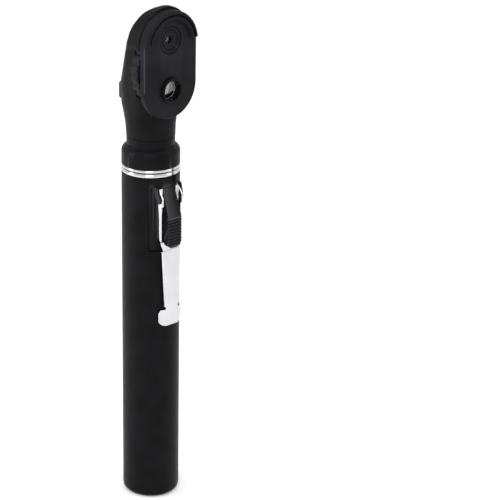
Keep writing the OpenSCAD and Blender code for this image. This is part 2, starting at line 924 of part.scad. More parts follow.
module green_filter() {
    color("#3fae6a") translate([0, selector_y, selector_web + 0.2]) at_aperture(4)
        cylinder(r = 1.28, h = web_t - 0.4);
}

module selector_axle() {
    color("#b8b8ba") translate([0, selector_y, selector_low - 0.9])
        cylinder(r = 0.7, h = selector_high - selector_low + 1.8);
}

handle_tube();
ring_lower();
bayonet_socket();
switch_carrier();
switch_leaf();
clip_bracket();
clip_rivets();
battery_spring();
battery_lower();
battery_upper();
contact_disc();
centre_contact();
switch_slider();
slider_contact();
clip_arm();
ring_upper();
collar();
neck_sleeve();
lamp_holder();
lamp_base();
lamp_glass();
lamp_filament();
optic_tube();
condenser_lens();
lens_retainer();
objective_tube();
objective_lens();
head_mirror();
mirror_mount();
patient_bezel();
patient_window();
front_housing();
rear_housing();
housing_screws();
face_plate();
brow_rest();
sight_insert();
eye_window();
window_bezel();
window_lens();
wheel_axle();
detent_spring();
detent_ball();
lens_disc();
disc_lenses();
dioptre_scale();
selector_axle();
aperture_wheel();
green_filter();
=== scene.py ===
"""Looks of the pocket ophthalmoscope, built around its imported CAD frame. Metres, +Z up."""

import json
import math

import bmesh
import bpy
from mathutils import Matrix, Vector


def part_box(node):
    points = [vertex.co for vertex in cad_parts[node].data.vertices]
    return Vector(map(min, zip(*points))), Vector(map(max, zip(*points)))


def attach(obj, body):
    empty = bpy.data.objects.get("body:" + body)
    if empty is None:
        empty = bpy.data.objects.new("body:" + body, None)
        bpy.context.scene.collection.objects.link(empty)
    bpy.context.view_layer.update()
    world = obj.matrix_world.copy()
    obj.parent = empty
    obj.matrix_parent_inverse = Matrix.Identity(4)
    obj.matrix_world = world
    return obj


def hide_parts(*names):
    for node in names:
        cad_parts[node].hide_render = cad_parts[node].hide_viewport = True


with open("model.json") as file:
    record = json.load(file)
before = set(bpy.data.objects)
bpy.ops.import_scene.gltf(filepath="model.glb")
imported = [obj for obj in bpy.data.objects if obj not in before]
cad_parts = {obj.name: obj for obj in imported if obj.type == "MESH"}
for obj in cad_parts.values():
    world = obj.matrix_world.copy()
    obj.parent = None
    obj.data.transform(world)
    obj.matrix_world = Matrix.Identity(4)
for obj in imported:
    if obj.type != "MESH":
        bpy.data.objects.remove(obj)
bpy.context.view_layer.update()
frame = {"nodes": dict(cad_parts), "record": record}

MM = 0.001
TAU = 2 * math.pi
SMOOTH_ANGLE = math.radians(32)


# ------------------------------------------------------------------ measures from the frame

def low(node):
    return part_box(node)[0]


def high(node):
    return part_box(node)[1]


def middle(node):
    return (low(node) + high(node)) / 2


TUBE_R = high("handle_tube").x
TUBE_TOP = high("handle_tube").z
COLLAR_TOP = high("collar").z
COLLAR_LOW = low("collar").z
SLEEVE_R = high("neck_sleeve").x
SLEEVE_TOP = high("neck_sleeve").z
HEAD_TOP = high("front_housing").z
PLATE_HW = high("face_plate").x
PLATE_LOW = low("face_plate").z
PLATE_HIGH = high("face_plate").z
PLATE_FRONT = low("face_plate").y
PLATE_BACK = high("face_plate").y
SIGHT = middle("sight_insert")
WINDOW = middle("window_bezel")
WHEEL = middle("lens_disc")
WHEEL_R = high("lens_disc").x
SELECTOR = middle("aperture_wheel")
SELECTOR_R = high("aperture_wheel").x


# ------------------------------------------------------------------ materials

def shader(name, color, roughness, metallic=0.0):
    """A new material with its Principled shader, ready for texture nodes."""
    mat = bpy.data.materials.new(name)
    mat.use_nodes = True
    bsdf = mat.node_tree.nodes["Principled BSDF"]
    bsdf.inputs["Base Color"].default_value = (*color, 1)
    bsdf.inputs["Roughness"].default_value = roughness
    bsdf.inputs["Metallic"].default_value = metallic
    bsdf.inputs["Specular IOR Level"].default_value = 0.5 if metallic else 0.06
    return mat, mat.node_tree, bsdf


def noise(tree, scale, detail=4.0, stretch=(1, 1, 1)):
    """A noise texture in object space. Scale counts features per metre."""
    coord = tree.nodes.new("ShaderNodeTexCoord")
    place = tree.nodes.new("ShaderNodeMapping")
    place.inputs["Scale"].default_value = stretch
    tex = tree.nodes.new("ShaderNodeTexNoise")
    tex.inputs["Scale"].default_value = scale
    tex.inputs["Detail"].default_value = detail
    tree.links.new(coord.outputs["Object"], place.inputs["Vector"])
    tree.links.new(place.outputs["Vector"], tex.inputs["Vector"])
    return tex.outputs["Fac"]


def spread(tree, value, out_low, out_high, in_low=0.3, in_high=0.7):
    """Maps a noise value onto a range."""
    node = tree.nodes.new("ShaderNodeMapRange")
    node.inputs["From Min"].default_value = in_low
    node.inputs["From Max"].default_value = in_high
    node.inputs["To Min"].default_value = out_low
    node.inputs["To Max"].default_value = out_high
    tree.links.new(value, node.inputs["Value"])
    return node.outputs["Result"]


def bump(tree, bsdf, height, strength, depth):
    """Adds a bump of the given depth in metres, on top of any bump already there."""
    node = tree.nodes.new("ShaderNodeBump")
    node.inputs["Strength"].default_value = strength
    node.inputs["Distance"].default_value = depth
    tree.links.new(height, node.inputs["Height"])
    if bsdf.inputs["Normal"].links:
        tree.links.new(bsdf.inputs["Normal"].links[0].from_socket, node.inputs["Normal"])
    tree.links.new(node.outputs["Normal"], bsdf.inputs["Normal"])


def mottle(tree, bsdf, value, dark, light):
    """Varies the base colour between two close tones."""
    ramp = tree.nodes.new("ShaderNodeValToRGB")
    ramp.color_ramp.elements[0].position = 0.35
    ramp.color_ramp.elements[0].color = (*dark, 1)
    ramp.color_ramp.elements[1].position = 0.65
    ramp.color_ramp.elements[1].color = (*light, 1)
    tree.links.new(value, ramp.inputs["Fac"])
    tree.links.new(ramp.outputs["Color"], bsdf.inputs["Base Color"])


def painted_edge_highlight(tree, bsdf, color, start=0.56, end=0.66):
    """Painted highlight: lightens the base colour on convex edges, standing in for the light they catch."""
    geometry = tree.nodes.new("ShaderNodeNewGeometry")
    # Pointiness picks out the convex edges that get the painted highlight.
    mask = spread(tree, geometry.outputs["Pointiness"], 0.0, 0.55, start, end)
    mix = tree.nodes.new("ShaderNodeMix")
    mix.data_type = "RGBA"
    mix.inputs["B"].default_value = (*color, 1)
    source = bsdf.inputs["Base Color"].links[0].from_socket
    tree.links.new(mask, mix.inputs["Factor"])
    tree.links.new(source, mix.inputs["A"])
    tree.links.new(mix.outputs["Result"], bsdf.inputs["Base Color"])


def coated(name, dark, light, rough, grain, depth, edge_highlight=None):
    """Painted metal or moulded plastic: fine grain, uneven sheen and, where given, a painted highlight on
    convex edges.
    """
    mat, tree, bsdf = shader(name, light, rough[0])
    mottle(tree, bsdf, noise(tree, 140, 3), dark, light)
    if edge_highlight:
        # Painted highlight along the convex edges.
        painted_edge_highlight(tree, bsdf, edge_highlight)
    tree.links.new(spread(tree, noise(tree, 420, 5), *rough), bsdf.inputs["Roughness"])
    bump(tree, bsdf, noise(tree, grain, 3), 0.35, depth)
    return mat


def metal(name, color, rough, scratch=(1, 1, 0.04), depth=2e-6, tint=None):
    """Bare or plated metal with faint drawn scratches and uneven polish."""
    mat, tree, bsdf = shader(name, color, rough[0], 1.0)
    mottle(tree, bsdf, noise(tree, 220, 3), tint or tuple(0.93 * c for c in color), color)
    tree.links.new(spread(tree, noise(tree, 900, 6), *rough), bsdf.inputs["Roughness"])
    bump(tree, bsdf, noise(tree, 5200, 2, scratch), 0.25, depth)
    return mat


def clear(name, color, rough=0.02, ior=1.5):
    """Optical glass with a little dust in its polish."""
    mat, tree, bsdf = shader(name, color, rough)
    bsdf.inputs["Transmission Weight"].default_value = 1.0
    bsdf.inputs["Specular IOR Level"].default_value = 0.5
    bsdf.inputs["IOR"].default_value = ior
    tree.links.new(spread(tree, noise(tree, 1500, 5), rough, rough + 0.05), bsdf.inputs["Roughness"])
    return mat


M = {
    # The last colour of a coated finish, where given, is its painted edge highlight.
    "tube_black": coated("tube_black", (0.003, 0.003, 0.0035), (0.005, 0.005, 0.006),
                         (0.36, 0.46), 5200, 1.6e-5, (0.05, 0.05, 0.055)),
    "collar_black": coated("collar_black", (0.003, 0.003, 0.0035), (0.005, 0.005, 0.006),
                           (0.34, 0.44), 5200, 1.2e-5, (0.05, 0.05, 0.055)),
    "head_black": coated("head_black", (0.003, 0.003, 0.0035), (0.0055, 0.0055, 0.006),
                         (0.40, 0.50), 6800, 1.6e-5, (0.04, 0.04, 0.043)),
    "plate_grey": coated("plate_grey", (0.007, 0.007, 0.009), (0.011, 0.0105, 0.014),
                         (0.52, 0.62), 7600, 1.4e-5, (0.06, 0.06, 0.068)),
    "switch_plastic": coated("switch_plastic", (0.005, 0.005, 0.006), (0.009, 0.009, 0.010),
                             (0.44, 0.56), 7000, 1.4e-5, (0.07, 0.07, 0.075)),
    "wheel_black": coated("wheel_black", (0.004, 0.004, 0.0045), (0.007, 0.007, 0.0075),
                          (0.40, 0.50), 6000, 1.0e-5, (0.016, 0.016, 0.017)),
    "optic_black": coated("optic_black", (0.006, 0.006, 0.006), (0.010, 0.010, 0.010),
                          (0.72, 0.85), 6000, 1.0e-5),
    "scale_white": coated("scale_white", (0.78, 0.78, 0.75), (0.84, 0.84, 0.81),
                          (0.42, 0.52), 4000, 4e-6),
    "scale_ink": coated("scale_ink", (0.010, 0.010, 0.012), (0.02, 0.02, 0.022),
                        (0.5, 0.6), 4000, 2e-6),
    "scale_red": coated("scale_red", (0.42, 0.012, 0.010), (0.5, 0.02, 0.016),
                        (0.5, 0.6), 4000, 2e-6),
    "cell_sleeve": coated("cell_sleeve", (0.010, 0.014, 0.020), (0.014, 0.019, 0.027),
                          (0.18, 0.28), 2600, 3e-6),
    "insulator": coated("insulator", (0.16, 0.045, 0.02), (0.22, 0.065, 0.03),
                        (0.5, 0.65), 3000, 1e-5),
    "chrome": metal("chrome", (0.60, 0.60, 0.61), (0.07, 0.14)),
    "steel": metal("steel", (0.58, 0.58, 0.60), (0.18, 0.32)),
    "brass": metal("brass", (0.78, 0.56, 0.24), (0.16, 0.30), tint=(0.66, 0.44, 0.18)),
    "mirror": metal("mirror", (0.92, 0.93, 0.94), (0.01, 0.03), depth=2e-7),
    "glass": clear("glass", (0.96, 0.98, 0.98)),
    "green_glass": clear("green_glass", (0.15, 0.62, 0.28)),
}


# ------------------------------------------------------------------ mesh tools

WELD = 1e-7

# Cuts keep this far off planes that a mesh already has, so that no faces coincide.
CLEAR = 0.01 * MM


def link(name, data):
    """A new object in the scene."""
    obj = bpy.data.objects.new(name, data)
    bpy.context.scene.collection.objects.link(obj)
    return obj


def loose(bm, name="tool"):
    """A bare object, for use in a cut or a join or to be dressed as a piece."""
    bmesh.ops.remove_doubles(bm, verts=bm.verts, dist=WELD)
    bmesh.ops.recalc_face_normals(bm, faces=bm.faces)
    mesh = bpy.data.meshes.new(name)
    bm.to_mesh(mesh)
    bm.free()
    return link(name, mesh)


def add(name, bm, body, slot, *nodes, sharp=SMOOTH_ANGLE):
    """Turns a bmesh into a piece that rides on a body and stands for CAD nodes."""
    return dress(loose(bm, name), body, slot, *nodes, sharp=sharp)


def dress(obj, body, slot, *nodes, sharp=SMOOTH_ANGLE, material=None):
    """Gives a piece its shading, its material and its body."""
    obj.data.materials.clear()
    obj.data.materials.append(M[material or slot])
    obj.data.polygons.foreach_set("use_smooth", [True] * len(obj.data.polygons))
    obj.data.set_sharp_from_angle(angle=sharp)
    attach(obj, body)
    if nodes:
        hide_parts(*nodes)
    return obj


def evaluated_mesh(obj):
    """A mesh of an object as it stands after its modifiers or its curve settings."""
    bpy.context.view_layer.update()
    graph = bpy.context.evaluated_depsgraph_get()
    return bpy.data.meshes.new_from_object(obj.evaluated_get(graph))


def bake(obj):
    """Replaces an object's mesh with the result of its modifiers."""
    mesh = evaluated_mesh(obj)
    obj.modifiers.clear()
    obj.data = mesh
    return obj


def combine(obj, tools, operation):
    """Cuts the tools out of an object, or joins them to it, and discards them."""
    for tool in tools:
        mod = obj.modifiers.new("combine", "BOOLEAN")
        mod.operation = operation
        mod.solver = "EXACT"
        mod.object = tool
        bake(obj)
        bpy.data.objects.remove(tool)
    return obj


def cut(obj, *tools):
    return combine(obj, tools, "DIFFERENCE")


def bevel(obj, width, segments=3, angle=35):
    """Rounds an object's sharp edges."""
    mod = obj.modifiers.new("bevel", "BEVEL")
    mod.width = width
    mod.segments = segments
    mod.limit_method = "ANGLE"
    mod.angle_limit = math.radians(angle)
    mod.use_clamp_overlap = True
    return bake(obj)


def fillet(points, radius, steps=5):
    """Rounds the corners of a closed outline. radius is one number or one per corner."""
    out = []
    n = len(points)
    for i, p in enumerate(points):
        r = radius[i] if isinstance(radius, (list, tuple)) else radius
        p = Vector(p)
        to_last = Vector(points[i - 1]) - p
        to_next = Vector(points[(i + 1) % n]) - p
        turn = to_last.angle(to_next) if to_last.length and to_next.length else math.pi
        if r <= 0 or turn > math.pi - 0.02:
            out.append(tuple(p))
            continue
        reach = min(r / math.tan(turn / 2), 0.49 * to_last.length, 0.49 * to_next.length)
        a = p + to_last.normalized() * reach
        b = p + to_next.normalized() * reach
        for k in range(steps + 1):
            t = k / steps
            out.append(tuple(a * (1 - t) ** 2 + p * 2 * t * (1 - t) + b * t * t))
    return out


def arc(x, z, radius, first, last, steps):
    """Points along an arc of a circle. The angles are in degrees."""
    angles = [math.radians(first + (last - first) * k / steps) for k in range(steps + 1)]
    return [(x + radius * math.cos(a), z + radius * math.sin(a)) for a in angles]


def crowned(radius, height, bulge, steps):
    """The gently domed top of a lens, from its edge to its middle."""
    return [(radius * (1 - k / steps), height + bulge * (1 - (1 - k / steps) ** 2)) for k in range(steps + 1)]


def skin(bm, rings):
    """Joins each ring of vertices to the next with quads."""
    for a, b in zip(rings, rings[1:]):
        for k in range(len(a)):
            m = (k + 1) % len(a)
            bm.faces.new((a[k], a[m], b[m], b[k]))


def lathe(profile, steps, turn=None, at=(0, 0, 0)):
    """A solid of revolution about Z from a closed (radius, height) outline, then placed."""
    bm = bmesh.new()
    rings = []
    for r, h in profile:
        if r < 1e-7:
            rings.append([bm.verts.new((0, 0, h))])
        else:
            angles = [k * TAU / steps for k in range(steps)]
            rings.append([bm.verts.new((r * math.cos(a), r * math.sin(a), h)) for a in angles])
    for i in range(len(profile)):
        a, b = rings[i - 1], rings[i]
        if len(a) == 1 and len(b) == 1:
            continue
        for k in range(steps):
            m = (k + 1) % steps
            corners = [a[k % len(a)], a[m % len(a)], b[m % len(b)], b[k % len(b)]]
            bm.faces.new(list(dict.fromkeys(corners)))
    place(bm, turn, at)
    return bm


def place(bm, turn=None, at=(0, 0, 0)):
    """Rotates a bmesh and moves it."""
    if turn is not None:
        bmesh.ops.transform(bm, matrix=turn, verts=bm.verts)
    bmesh.ops.translate(bm, vec=Vector(at), verts=bm.verts)
    return bm


ALONG_MINUS_Y = Matrix.Rotation(math.pi / 2, 4, "X")
REAR_SLOPE = math.radians(23.5)
ALONG_REAR = Matrix.Rotation(-math.pi / 2 + REAR_SLOPE, 4, "X")


def prism(outline, depth, turn=None, at=(0, 0, 0)):
    """An outline in XY, extruded upwards by depth, then placed."""
    bm = bmesh.new()
    base = [bm.verts.new((x, y, 0)) for x, y in outline]
    top = [bm.verts.new((x, y, depth)) for x, y in outline]
    bm.faces.new(base[::-1])
    bm.faces.new(top)
    skin(bm, [base, top])
    return place(bm, turn, at)


def block(corner, size):
    """A box from its lowest corner and its size."""
    bm = bmesh.new()
    bmesh.ops.create_cube(bm, size=1)
    bmesh.ops.scale(bm, vec=Vector(size), verts=bm.verts)
    bmesh.ops.translate(bm, vec=Vector(corner) + Vector(size) / 2, verts=bm.verts)
    return bm


def rod(radius, y0, y1, x=0.0, z=0.0, steps=64):
    """A cylinder along Y."""
    length = y1 - y0
    return lathe([(0, 0), (radius, 0), (radius, length), (0, length)], steps, ALONG_MINUS_Y, (x, y1, z))


def post(radius, z0, z1, x=0.0, y=0.0, steps=64):
    """A cylinder along Z."""
    return lathe([(0, z0), (radius, z0), (radius, z1), (0, z1)], steps, None, (x, y, 0))


def merge(target, *others):
    """Puts several bmeshes into one."""
    for other in others:
        mesh = bpy.data.meshes.new("part")
        other.to_mesh(mesh)
        other.free()
        target.from_mesh(mesh)
        bpy.data.meshes.remove(mesh)
    return target


# ------------------------------------------------------------------ handle

OPENING_LOW = 90 * MM
OPENING_TOP = 112 * MM
BORE_R = high("contact_disc").x + 0.03 * MM
TRACK_HW = 2.65 * MM


def make_tube():
    """The handle's tube, with the opening for the switch and the slider's track above it."""
    floor = 2 * MM
    profile = fillet(
        [(0, 0), (TUBE_R, 0), (TUBE_R, TUBE_TOP), (BORE_R, TUBE_TOP), (BORE_R, floor), (0, floor)],
        [0, 2.4 * MM, 0.15 * MM, 0.1 * MM, 0.6 * MM, 0], 10)
    tube = loose(lathe(profile, 192), "handle_tube_shell")
    window = block((-6.83 * MM, -12 * MM, OPENING_LOW), (13.66 * MM, 7 * MM, OPENING_TOP - OPENING_LOW))
    groove = block((-TRACK_HW, -12 * MM, OPENING_TOP - 1 * MM), (2 * TRACK_HW, 3.7 * MM, 5 * MM))
    cut(tube, loose(window), loose(groove))
    bevel(tube, 0.3 * MM, 4, 40)
    dress(tube, "handle", "tube_black", "handle_tube")


def make_ring(name, node, body):
    """A half-round ring with the narrow alignment slit."""
    z0, z1 = low(node).z, high(node).z
    r1 = high(node).x
    half = (z1 - z0) / 2
    inner = BORE_R + 0.1 * MM
    bead = arc(r1 - half, z0 + half, half, -90, 90, 14)
    ring = loose(lathe([(inner, z0)] + bead + [(inner, z1)], 192), name)
    slit = block((-0.47 * MM, -TUBE_R - 2 * MM, z0 - 1 * MM), (0.94 * MM, 3 * MM, z1 - z0 + 2 * MM))
    place(slit, Matrix.Rotation(math.radians(6), 4, "Z"))
    cut(ring, loose(slit))
    bevel(ring, 0.06 * MM, 2, 50)
    dress(ring, body, "chrome", node)


def make_carrier():
    """The insert that fills the tube's window, with the slider's track down its middle."""
    z0, z1 = low("switch_carrier").z, high("switch_carrier").z
    face = TUBE_R - 0.45 * MM
    inner = BORE_R + 0.05 * MM
    half = math.radians(45.2)
    n = 40
    angles = [-half + 2 * half * k / n for k in range(n + 1)]
    outline = [(face * math.sin(a), -face * math.cos(a)) for a in angles]
    outline += [(inner * math.sin(a), -inner * math.cos(a)) for a in reversed(angles)]
    carrier = loose(prism(outline, z1 - z0, None, (0, 0, z0)), "switch_carrier_insert")
    track = block((-2.6 * MM, -14 * MM, z0 - 1 * MM), (5.2 * MM, 6 * MM, z1 - z0 + 2 * MM))
    cut(carrier, loose(track))
    ear = [(7.4 * MM, z1), (9.15 * MM, z1), (10.15 * MM, 107.8 * MM), (9.85 * MM, 106.7 * MM),
           (7.4 * MM, 109.6 * MM)]
    ears = [loose(place(side_view(ear, 0.35 * MM), None, (side * 4.79 * MM, 0, 0))) for side in (-1, 1)]
    combine(carrier, ears, "UNION")
    bevel(carrier, 0.12 * MM, 2, 50)
    dress(carrier, "handle", "switch_plastic", "switch_carrier")


# ------------------------------------------------------------------ clip and switch

SHEET = 0.55 * MM
CHANNEL_HW = high("clip_bracket").x
CHANNEL_FACE = -low("clip_bracket").y
CHANNEL_LOW = low("clip_bracket").z
CHANNEL_TOP = high("clip_bracket").z
ARM_HW = 3.65 * MM
ARM_FACE = 10.35 * MM


def side_view(points, half_width):
    """A slab across X from a side view given as (distance from the axis, height)."""
    bm = bmesh.new()
    left = [bm.verts.new((-half_width, -d, z)) for d, z in points]
    right = [bm.verts.new((half_width, -d, z)) for d, z in points]
    bm.faces.new(left)
    bm.faces.new(right[::-1])
    skin(bm, [left, right])
    return bm


def make_bracket():
    """The clip's channel: a wall on each side of the slider and a bridge below them."""
    base = 8.0 * MM
    floor_edge = 2.8 * MM
    bridge_mid, bridge_top = 92.6 * MM, 93.6 * MM
    wall_face = 10.1 * MM
    wall = [(base, 94.6 * MM), (wall_face, 93.4 * MM), (wall_face, 105.3 * MM), (CHANNEL_FACE, 105.8 * MM),
            (CHANNEL_FACE, 108.6 * MM), (base + 0.1 * MM, CHANNEL_TOP), (base, CHANNEL_TOP)]
    wall = fillet(wall, [0, 0.5 * MM, 0.3 * MM, 0.3 * MM, 0.9 * MM, 0, 0], 6)
    tools = []
    for side in (-1, 1):
        slab = side_view(wall, SHEET / 2)
        tools.append(loose(place(slab, None, (side * (CHANNEL_HW - SHEET / 2), 0, 0))))
        edge = floor_edge if side > 0 else -CHANNEL_HW
        tools.append(loose(block((edge, -8.95 * MM, 95.2 * MM),
                                 (CHANNEL_HW - floor_edge, 1.2 * MM, CHANNEL_TOP - 95.8 * MM))))
    outline = [(-ARM_HW, CHANNEL_LOW), (ARM_HW, CHANNEL_LOW),
               (CHANNEL_HW, bridge_mid), (CHANNEL_HW, bridge_top),
               (-CHANNEL_HW, bridge_top), (-CHANNEL_HW, bridge_mid)]
    bridge = loose(prism(outline, SHEET, ALONG_MINUS_Y, (0, SHEET - ARM_FACE, 0)), "clip_channel")
    combine(bridge, tools, "UNION")
    cut(bridge, loose(post(TUBE_R - 0.43 * MM, 80 * MM, 120 * MM, steps=192)))
    bevel(bridge, 0.12 * MM, 3, 40)
    dress(bridge, "handle", "chrome", "clip_bracket")


def make_arm():
    """The clip strip, with side flanges along its edges and a winged, rounded foot."""
    top = high("clip_arm").z
    foot = 64 * MM
    neck = foot + 6 * MM
    low_hw = 3.15 * MM
    flat = 2.5 * MM
    flange_depth = 1.15 * MM
    wing_width, wing_radius, wing_turn = 2.65 * MM, 3.0 * MM, math.radians(26)
    half = [(0, top), (ARM_HW, top), (low_hw, neck + 0.9 * MM), (flat + 0.1 * MM, neck + 0.5 * MM),
            (flat, neck), (flat, foot + 0.02 * MM), (0, foot + 0.02 * MM)]
    outline = half + [(-x, z) for x, z in reversed(half[1:-1])]
    outline = fillet(outline, 0.18 * MM, 4)
    arm = loose(prism(outline, SHEET, ALONG_MINUS_Y, (0, SHEET, 0)), "clip_strip")
    taper = math.atan((ARM_HW - low_hw) / (top - neck))
    tools = []
    for side in (-1, 1):
        flange = fillet([(0, neck + 1 * MM), (0.6 * MM, neck + 1.5 * MM),
                         (flange_depth, top - 1.2 * MM), (flange_depth, top - 0.2 * MM),
                         (0, top - 0.2 * MM)], 0.12 * MM, 3)
        slab = side_view([(-d, z - top) for d, z in flange], SHEET / 2)
        place(slab, Matrix.Rotation(side * taper, 4, "Y"), (side * (ARM_HW - SHEET / 2), 0, top))
        tools.append(loose(slab))
        sweep = [(wing_radius * math.sin(t), 3.05 * MM - wing_radius * math.cos(t))
                 for t in [math.radians(12 * k) for k in range(8)]]
        wing = [(-0.1 * MM, 0.05 * MM)] + [(min(x, wing_width), z) for x, z in sweep]
        wing += [(wing_width, 4.6 * MM), (1.9 * MM, 5.7 * MM), (-0.1 * MM, 5.7 * MM)]
        wing = prism([(x, foot + z) for x, z in dict.fromkeys(wing)], SHEET, ALONG_MINUS_Y, (0, SHEET, 0))
        turn = Matrix.Rotation(wing_turn, 4, "Z")
        if side < 0:
            turn = Matrix.Scale(-1, 4, (1, 0, 0)) @ turn
        tools.append(loose(place(wing, turn, (side * flat, 0, 0))))
    combine(arm, tools, "UNION")
    lean = math.atan((ARM_FACE - 10.1 * MM) / (top - foot))
    arm.data.transform(Matrix.Translation((0, -ARM_FACE, top)) @ Matrix.Rotation(-lean, 4, "X")
                       @ Matrix.Translation((0, 0, -top)))
    bevel(arm, 0.1 * MM, 3, 30)
    dress(arm, "clip", "chrome", "clip_arm")


def make_slider():
    """The slider: a round-ended ribbed pad above the strip, and the ramp up to the tube."""
    pad_low, pad_top = low("switch_slider").z, 102 * MM
    top = high("switch_slider").z
    face = -low("switch_slider").y
    inner = 8.45 * MM
    under = ARM_FACE + 0.15 * MM
    half = 2.8 * MM
    side = [(inner, pad_low + 4.6 * MM), (8.9 * MM, pad_low + 3.4 * MM), (under, pad_low + 2.9 * MM),
            (under, pad_low + 0.6 * MM), (face - 1 * MM, pad_low), (face - 0.4 * MM, pad_low + 0.3 * MM),
            (face, pad_low + 1.2 * MM), (face, pad_top), (8.55 * MM, top), (inner, top)]
    radii = [0, 0.3 * MM, 0.2 * MM, 0.3 * MM, 0.4 * MM, 0.3 * MM, 0.6 * MM, 0.9 * MM, 0, 0]
    slider = loose(side_view(fillet(side, radii, 5), 2.6 * MM), "switch_slider_body")
    pad = loose(side_view([(max(d, 9.4 * MM), min(z, pad_top)) for d, z in
                           fillet(side[:8] + [(9.4 * MM, pad_top)], radii[:8] + [0], 5)], half))
    combine(slider, [pad], "UNION")
    wide = half + CLEAR
    end = [(x * wide / half, z - CLEAR) for x, z in arc(0, pad_low + half, half, 180, 360, 24)]
    mask = prism(end + [(wide, top + 1 * MM), (-wide, top + 1 * MM)], 20 * MM, ALONG_MINUS_Y)
    combine(slider, [loose(mask)], "INTERSECT")
    bevel(slider, 0.22 * MM, 3, 40)
    ribs = 9
    pitch = (pad_top - pad_low - 1.6 * MM) / ribs
    grooves = []
    for i in range(ribs):
        z = pad_low + 1.4 * MM + i * pitch
        grooves.append(block((-4 * MM, -face - 0.5 * MM, z), (8 * MM, 0.85 * MM, pitch * 0.42)))
    cut(slider, loose(merge(grooves[0], *grooves[1:])))
    dress(slider, "switch", "switch_plastic", "switch_slider", sharp=math.radians(28))


# ------------------------------------------------------------------ collar and neck

def make_collar():
    """The turning collar, with its rounded shoulder."""
    inner = BORE_R + 0.06 * MM
    shoulder = 2.3 * MM
    rim = SLEEVE_R + 0.2 * MM
    bend = [p for p in arc(TUBE_R - shoulder, COLLAR_TOP - shoulder, shoulder, 0, 90, 15) if p[0] > rim]
    profile = [(inner, COLLAR_LOW), (TUBE_R - 0.12 * MM, COLLAR_LOW), (TUBE_R, COLLAR_LOW + 0.12 * MM)]
    profile += bend + [(rim, COLLAR_TOP - 0.02 * MM), (SLEEVE_R + 0.1 * MM, COLLAR_TOP - 0.12 * MM),
                       (inner, COLLAR_TOP - 0.12 * MM)]
    add("collar_ring", lathe(profile, 192), "head", "collar_black", "collar", sharp=math.radians(30))


def make_sleeve():
    bore = 5.0 * MM
    foot = low("neck_sleeve").z
    profile = fillet([(bore, foot), (BORE_R + 0.03 * MM, foot), (BORE_R + 0.03 * MM, COLLAR_TOP - 0.3 * MM),
                      (SLEEVE_R, COLLAR_TOP - 0.3 * MM), (SLEEVE_R, SLEEVE_TOP), (bore, SLEEVE_TOP)],
                     [0, 0.2 * MM, 0, 0, 0.22 * MM, 0.1 * MM], 5)
    add("neck_sleeve_ring", lathe(profile, 192), "head", "collar_black", "neck_sleeve")


# ------------------------------------------------------------------ head housing

# Each station: height, half width, front, rear, squareness of the front and the depth at
# which the half width is reached, all in millimetres.
HEAD_FORM = [
    (127, 7.9, 7.9, 7.9, 2, 0), (131, 8.15, 7.9, 8.15, 2, 0), (134, 8.5, 7.7, 8.8, 2.2, 0),
    (137.5, 9.0, 7.4, 9.8, 2.8, 0), (141, 9.4, 7.4, 10.0, 3.4, 0), (144.5, 9.6, 7.4, 9.55, 3.8, 0),
    (148.4, 9.6, 7.4, 8.15, 4, 0), (151.3, 9.6, 7.4, 7.0, 4, 0), (154.1, 9.6, 7.4, 5.9, 4, 0),
    (156.6, 9.75, 7.4, 4.7, 5, -0.4),
]
# Each row of the crown: height, how far inside the round outline, rear and widest depth.
CROWN = [
    (158.8, 0.25, 3.3, -1.6), (160.6, 0, 2.1, -2.2), (162.5, 0, 0.9, -2), (164.4, 0, -0.2, -2.3),
    (166, 0, -1.1, -2.8), (167.4, 0, -2, -3.1), (168.5, 0, -2.9, -3.6), (169.3, 0, -3.8, -4.4),
    (169.75, 0, -4.6, -5.1),
]
CROWN_Z = (PLATE_HIGH - PLATE_HW) / MM


def crown_half(z):
    """Half the width of the head's round crown at a height, in millimetres."""
    rise = (z - CROWN_Z) / (HEAD_TOP / MM - CROWN_Z)
    return PLATE_HW / MM * math.sqrt(max(0.0, 1 - rise ** 2))


HEAD_FORM += [(z, crown_half(z) - gap, 7.4, rear, 12, mid) for z, gap, rear, mid in CROWN]
HEAD_FORM += [(170, 1.2, 7.4, -5.3, 12, -5.8)]


def form_at(z):
    """The head's section at a height, between two stations."""
    rows = HEAD_FORM
    i = max(k for k in range(len(rows) - 1) if rows[k][0] <= z + 1e-9)
    a, b = rows[i], rows[i + 1]
    t = (z - a[0]) / (b[0] - a[0])
    out = [a[k] + (b[k] - a[k]) * t for k in range(6)]
    crown_start, first_gap = CROWN[0][:2]
    if crown_start < z < CROWN[-1][0]:
        out[1] = crown_half(z) - ((1 - t) * first_gap if a[0] == crown_start else 0)
    return out


def head_loft(inset=0.0, z0=127.0, z1=170.0, around=144, pitch=0.5):
    """A closed loft of the head's form, drawn in by inset millimetres."""
    bm = bmesh.new()
    least = 0.4
    count = int((z1 - z0) / pitch)
    rings = []
    for j in range(count + 1):
        z, w, f, r, square, mid = form_at(z0 + (z1 - z0) * j / count)
        w, r = max(w - inset, least), r - inset
        mid = min(mid, r - least)
        f = max(f - inset + mid, least)
        p = 2 / square
        ring = []
        for k in range(around):
            a = k * TAU / around
            c, s = math.cos(a), math.sin(a)
            if k * 2 <= around:
                x, y = w * c, mid + (r - mid) * s
            else:
                x = w * math.copysign(abs(c) ** p, c)
                y = mid - f * abs(s) ** p
            ring.append(bm.verts.new((x * MM, y * MM, z * MM)))
        rings.append(ring)
    skin(bm, rings)
    bm.faces.new(rings[0][::-1])
    bm.faces.new(rings[-1])
    return bm


def half_space(front):
    """A block over the front or the rear half of the head."""
    y0 = -20 * MM - CLEAR if front else CLEAR
    return block((-20 * MM, y0, 120 * MM), (40 * MM, 20 * MM, 60 * MM))


def head_shell(front):
    """One half of the hollow head."""
    shell = loose(head_loft(), "front_shell" if front else "rear_shell")
    cut(shell, loose(head_loft(1.2, 128.2, 168.2)), loose(post(3.7 * MM, 120 * MM, 132 * MM)))
    combine(shell, [loose(half_space(front))], "INTERSECT")
    return shell


